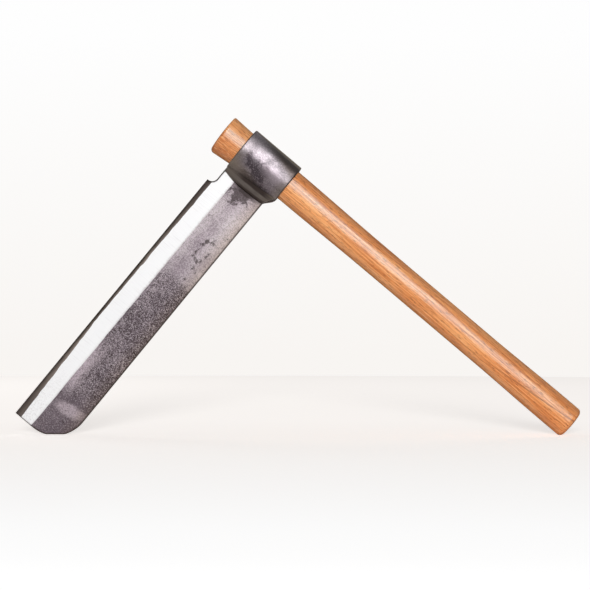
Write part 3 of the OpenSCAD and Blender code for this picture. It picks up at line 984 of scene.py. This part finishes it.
def handle_tree(wood, sizes):
    """Node tree that turns the handle from its sizes: a grid wrapped round a bent axis."""
    tree = bpy.data.node_groups.new("handle turning", "GeometryNodeTree")
    tree.interface.new_socket("Geometry", in_out="OUTPUT", socket_type="NodeSocketGeometry")
    keys = {}
    for name, value in sizes.items():
        kind = "NodeSocketInt" if isinstance(value, int) else "NodeSocketFloat"
        keys[name] = tree.interface.new_socket(name, in_out="INPUT", socket_type=kind).identifier
    add = partial(add_node, tree)
    size = add("NodeGroupInput").outputs
    grid = add("GeometryNodeMeshGrid", {
        "Size X": 1.0, "Size Y": 1.0, "Vertices X": size["Rings"], "Vertices Y": size["Sides"]})
    ring, side, _ = add("SeparateXYZ", (add("GeometryNodeInputPosition"),)).outputs
    u = add("Math", (ring, 0.5), "ADD")
    angle = add("Math", (side, 2 * math.pi), "MULTIPLY")
    y = add("Math", (angle,), "SINE")
    z = add("Math", (angle,), "COSINE")

    # Distance from the stub's end, with rings crowded at both ends
    half_turn = add("Math", (add("MapRange", (u, END_SHARE, 1 - END_SHARE)), math.pi), "MULTIPLY")
    wave = add("Math", (half_turn,), "COSINE")
    part = add("Math", (wave, -0.5, 0.5), "MULTIPLY_ADD")
    along = add("Math", (part, size["Length"]), "MULTIPLY")

    # Radius: stub, seat in the eye, grip narrowing to its waist and swelling to its tail
    waist_start = add("Math", (size["Exit"], size["Narrowing"]), "ADD")
    rim_start = add("Math", (size["Length"], size["Tail Round"]), "SUBTRACT")
    band_start = add("Math", (rim_start, size["Tail Band"]), "SUBTRACT")
    swell_start = add("Math", (band_start, size["Swelling"]), "SUBTRACT")
    radius = add("MapRange", (along, 0.0, size["Flare Start"], size["Stub Radius"], size["Seat Radius"]))
    for start, stop, before, after, curve in (
        (size["Flare Start"], size["Exit"], "Seat Radius", "Exit Radius", {}),
        (size["Exit"], waist_start, "Exit Radius", "Waist Radius", SMOOTH),
        (swell_start, band_start, "Waist Radius", "Tail Radius", SMOOTH),
    ):
        change = add("Math", (size[after], size[before]), "SUBTRACT")
        grown = add("MapRange", (along, start, stop, 0.0, change), **curve)
        radius = add("Math", (radius, grown), "ADD")

    # Rounded rims: the stub's is rounder on the side of the blade
    lower = add("Math", (z, -0.45, 1.0), "MULTIPLY_ADD")
    stub_round = add("Math", (size["Stub Round"], lower), "MULTIPLY")
    from_tail = add("Math", (size["Length"], along), "SUBTRACT")
    for depth, round_off in ((along, stub_round), (from_tail, size["Tail Round"])):
        left = add("Math", (add("Math", (round_off, depth), "SUBTRACT"), 0.0), "MAXIMUM")
        squares = [add("Math", (value, 2.0), "POWER") for value in (round_off, left)]
        kept = add("Math", (add("Math", squares, "SUBTRACT"), 0.0), "MAXIMUM")
        cut = add("Math", (round_off, add("Math", (kept,), "SQRT")), "SUBTRACT")
        radius = add("Math", (radius, cut), "SUBTRACT")

    # End faces: the rings close to the middle over a low crown
    near = add("MapRange", (u, 0.0, END_SHARE))
    far = add("MapRange", (u, 1.0, 1 - END_SHARE))
    radius = add("Math", (radius, add("Math", (near, far), "MULTIPLY")), "MULTIPLY")
    for closing, sign in ((near, -1.0), (far, 1.0)):
        square = add("Math", (closing, 2.0), "POWER")
        bulge = add("Math", (square, -sign, sign), "MULTIPLY_ADD")
        along = add("Math", (bulge, size["Crown"], along), "MULTIPLY_ADD")

    # Waves of hand shaping 60 mm long, which leave the seat in the eye alone and start 20 mm past it
    spot = add("CombineXYZ", (add("Math", (along, 1 / 0.06), "MULTIPLY"), y, z))
    wavy = add("TexNoise", {"Vector": spot, "Scale": 1.0, "Detail": 1.0})
    full = add("Math", (size["Exit"], 0.02), "ADD")
    free = add("MapRange", (along, size["Exit"], full, 0.0, size["Waver"]))
    before_rim = add("MapRange", (along, rim_start, band_start))
    height = add("Math", (before_rim, free), "MULTIPLY")
    centred = add("Math", (wavy, -0.5), "ADD")
    radius = add("Math", (centred, height, radius), "MULTIPLY_ADD")

    # Place of each point: the tenon leans about the end of the eye's taper
    place = add("CombineXYZ", (
        add("Math", (along, size["Exit"]), "SUBTRACT"),
        add("Math", (radius, y), "MULTIPLY"),
        add("Math", (radius, z), "MULTIPLY")))
    tenon = add("Math", (along, size["Exit"]), "LESS_THAN")
    lean = add("Math", (tenon, size["Tenon Lean"]), "MULTIPLY")
    leaning = add("VectorRotate", {"Vector": place, "Angle": lean}, rotation_type="Y_AXIS")
    back = add("CombineXYZ", (add("Math", (size["Exit"], size["Eye Middle"]), "SUBTRACT"),))
    shaped = add("GeometryNodeSetPosition", {
        "Geometry": grid.outputs["Mesh"], "Position": add("VectorMath", (leaning, back), "ADD")})
    closed = add("GeometryNodeMergeByDistance", {"Geometry": shaped, "Distance": 0.000002})
    smooth = add("GeometryNodeSetShadeSmooth", {"Geometry": closed})
    real = add("GeometryNodeRealizeInstances", {"Geometry": smooth})
    done = add("GeometryNodeSetMaterial", {"Geometry": real, "Material": wood})
    add("NodeGroupOutput", {"Geometry": done})
    return tree, keys


class FROE_OT_handle(bpy.types.Operator):
    """Turn the handle with Geometry Nodes and drop it through the eye"""
    bl_idname = "froe.handle"
    bl_label = "Handle"

    def execute(self, context):
        scene = context.scene
        p = head_places(scene)
        handle, eye = scene.froe_handle, scene.froe_eye
        seat = eye.lead + eye.length + handle.flare_gap
        sizes = {
            "Rings": handle.rings,
            "Sides": handle.sides + 1,
            "Length": handle.length,
            "Stub Radius": handle.stub_diameter / 2,
            "Stub Round": handle.stub_round,
            "Flare Start": handle.stub - handle.flare_gap,
            "Seat Radius": p.exit_bore + seat * math.tan(p.taper) - handle.clearance,
            "Exit": handle.stub + eye.length + eye.lead,
            "Exit Radius": p.exit_bore - handle.clearance,
            "Waist Radius": handle.waist / 2,
            "Narrowing": handle.narrowing,
            "Tail Radius": handle.tail / 2,
            "Swelling": handle.swelling,
            "Tail Band": handle.tail_band,
            "Tail Round": handle.tail_round,
            "Crown": handle.crown,
            "Tenon Lean": -p.taper,
            "Waver": 2 * handle.waver,
            "Eye Middle": handle.stub + eye.length / 2,
        }
        tree, keys = handle_tree(oiled_wood(scene.froe_finish, p), sizes)
        blank = new_object("handle blank", bpy.data.meshes.new("handle blank"))
        turning = blank.modifiers.new("turning", "NODES")
        turning.node_group = tree
        for name, value in sizes.items():
            turning[keys[name]] = value
        mesh = bpy.data.meshes.new_from_object(
            blank.evaluated_get(context.evaluated_depsgraph_get()))
        blank.modifiers.remove(turning)
        bpy.data.objects.remove(blank)
        mesh.name = "froe_handle"
        mesh.transform(p.grip)
        close_shell(mesh)
        place_piece("froe_handle", mesh, "handle", "handle")
        return {"FINISHED"}


def softbox(name, toward, reach, size, watts, up=(0, 0, 1), shapes=True, shines=True, lit=()):
    """Area lamp aimed at the middle of the froe. It may give shape alone, shine alone, or light some
    pieces alone, as a lamp with flags does in a studio."""
    lamp = bpy.data.lights.new(name, "AREA")
    lamp.shape, lamp.energy = "RECTANGLE", watts
    lamp.size, lamp.size_y = size
    box = new_object(name, lamp)
    away = Vector(toward).normalized()
    across = Vector(up).cross(away).normalized()
    middle = Vector((-0.03, 0.0, 0.2))
    box.matrix_world = Matrix.Translation(middle + away * reach) @ Matrix(
        (across, away.cross(across), away)).transposed().to_4x4()
    box.visible_camera, box.visible_diffuse, box.visible_glossy = False, shapes, shines
    if lit:
        group = bpy.data.collections.new(name)
        for piece in lit:
            group.objects.link(bpy.data.objects[piece])
        box.light_linking.receiver_collection = group
    return lamp


class FROE_OT_stage(bpy.types.Operator):
    """Set the floor, the wall, the softboxes and the camera"""
    bl_idname = "froe.stage"
    bl_label = "Stage"

    def execute(self, context):
        scene, stage = context.scene, context.scene.froe_stage
        scene.view_settings.view_transform = "Standard"
        scene.world = studio_room(stage)
        ring = [(stage.floor_radius * math.cos(a), stage.floor_radius * math.sin(a), 0.0)
                for a in np.linspace(0, 2 * math.pi, FLOOR_SIDES, endpoint=False)]
        mesh = bpy.data.meshes.new("floor")
        mesh.from_pydata(ring, [], [list(range(len(ring)))])
        mesh.materials.append(paper_floor(stage))
        floor = new_object("floor", mesh)

        # The front softbox gives the shape and the shadow; the strips shine on the steel alone, and the
        # grip and rear softboxes light the wood alone
        blade, wood = ("froe_blade",), ("froe_handle",)
        tube = ("froe_eye", "froe_weld_front", "froe_weld_back")
        softbox("front softbox", (0.0, -0.99, 0.12), 5.5, (0.8, 0.8), stage.front, shines=False)
        softbox("blade strip", (0.405, -0.77, 0.495), 2.2, (0.6, 2.7), stage.strip,
                up=(0.63, 0, 0.77), shapes=False, lit=blade)
        softbox("eye strip", (0.392, -0.793, 0.466), 2.2, (0.6, 2.65), stage.strip,
                up=(0.63, 0, 0.77), shapes=False, lit=tube)
        grip = softbox("grip softbox", (0.236, -1.0, 0.42), 3.0, (1.4, 2.5), stage.grip,
                       up=(0.64, 0, 0.76), shapes=False, lit=wood)
        grip.color = stage.grip_tint
        softbox("rear softbox", (0.2, 0.9, 0.3), 3.0, (1.2, 1.2), stage.rear, shines=False, lit=wood)
        softbox("back softbox", (-0.3, 0.8, 0.55), 2.4, (1.2, 1.2), stage.back)

        lens = bpy.data.cameras.new("camera")
        lens.sensor_width, lens.lens = 36.0, stage.focal_length
        lens.clip_start, lens.clip_end = 0.05, 100.0
        camera = new_object("camera", lens)
        camera.location = (stage.camera_side, -stage.camera_distance, stage.camera_height)
        camera.rotation_euler = (math.pi / 2, -stage.camera_roll, 0.0)
        scene.camera = camera
        return {"FINISHED"}


OPERATORS = (FROE_OT_blade, FROE_OT_eye, FROE_OT_welds, FROE_OT_handle, FROE_OT_stage)
GROUPS = {
    "froe_blade": FroeBladeSizes,
    "froe_eye": FroeEyeSizes,
    "froe_weld": FroeWeldSizes,
    "froe_handle": FroeHandleSizes,
    "froe_finish": FroeFinish,
    "froe_stage": FroeStage,
}


class FROE_PT_panel(bpy.types.Panel):
    """Sizes, colours and builders of the froe"""
    bl_idname = "FROE_PT_panel"
    bl_label = "Froe"
    bl_space_type = "VIEW_3D"
    bl_region_type = "UI"
    bl_category = "Froe"

    def draw(self, context):
        for operator in OPERATORS:
            self.layout.operator(operator.bl_idname)
        for name in GROUPS:
            box = self.layout.box()
            box.label(text=name.replace("froe_", "").title())
            group = getattr(context.scene, name)
            for key in group.bl_rna.properties.keys():
                if key not in ("rna_type", "name"):
                    box.prop(group, key)


def register():
    for cls in (*GROUPS.values(), *OPERATORS, FROE_PT_panel):
        bpy.utils.register_class(cls)
    for name, cls in GROUPS.items():
        setattr(bpy.types.Scene, name, PointerProperty(type=cls))


def unregister():
    for name in GROUPS:
        delattr(bpy.types.Scene, name)
    for cls in (FROE_PT_panel, *reversed(OPERATORS), *reversed(GROUPS.values())):
        bpy.utils.unregister_class(cls)


def main():
    register()
    bpy.ops.froe.blade()
    bpy.ops.froe.eye()
    bpy.ops.froe.welds()
    bpy.ops.froe.handle()
    bpy.ops.froe.stage()


if __name__ == "__main__":
    main()
